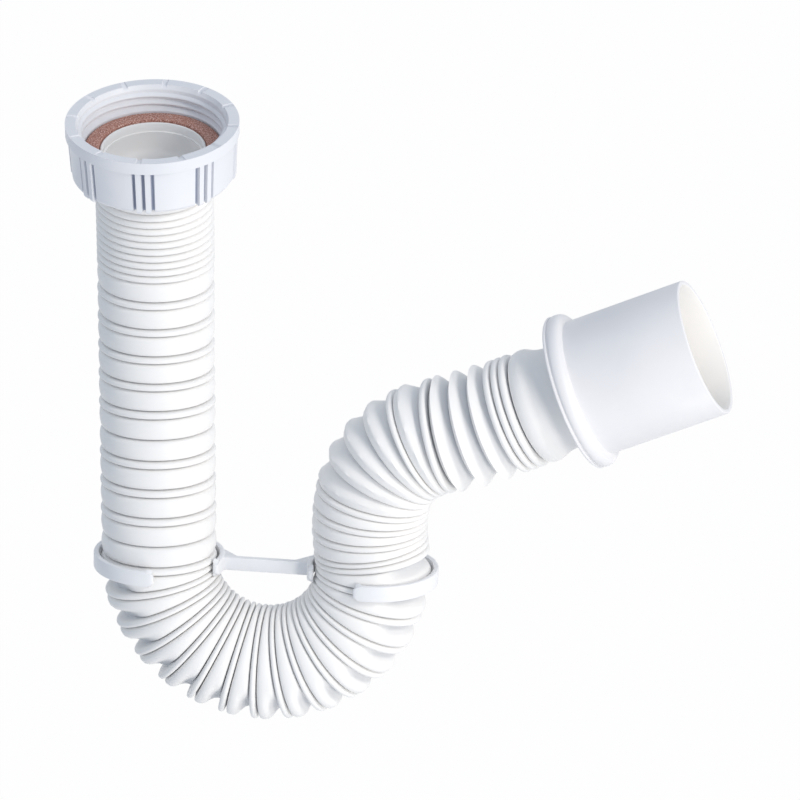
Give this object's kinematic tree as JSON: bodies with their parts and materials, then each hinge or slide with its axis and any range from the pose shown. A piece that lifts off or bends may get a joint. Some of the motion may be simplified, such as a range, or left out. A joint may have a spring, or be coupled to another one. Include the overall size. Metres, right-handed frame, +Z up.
{
  "type": "flexible waste pipe",
  "caption": "White bellows waste pipe bent into a U-trap, with a ribbed union nut and rubber washer at the inlet, a rigid spigot at the outlet and a clip across the legs.",
  "frame": {"origin": "centre of the washer's upper face, the inlet's sealing face", "axes": "+Z up along the inlet's axis, +X towards the outlet, -Y to the front"},
  "size_m": [0.1923, 0.0713, 0.1807],
  "materials": {
    "nut_plastic": "cool white moulded, satin",
    "washer_rubber": "reddish brown, grainy",
    "pipe_plastic": "warm white blow-moulded, satin",
    "spigot_plastic": "cool white moulded, satin",
    "clip_plastic": "cool white moulded, satin"
  },
  "bodies": {
    "pipe": {"bellows_pipe": "pipe_plastic", "sealing_washer": "washer_rubber", "trap_clip": "clip_plastic"},
    "nut": {"coupling_nut": "nut_plastic"},
    "outlet": {"outlet_spigot": "spigot_plastic"}
  },
  "joints": [
    {"name": "nut_spin", "type": "hinge", "parent": "pipe", "child": "nut", "pos_m": [0, 0, 0], "axis": [0, 0, 1], "continuous": true},
    {"name": "outlet_extend", "type": "slide", "parent": "pipe", "child": "outlet", "axis": [0.9053, 0.0422, 0.4227], "range_m": [-0.012, 0.032], "deforming": ["bellows_pipe"]}
  ]
}
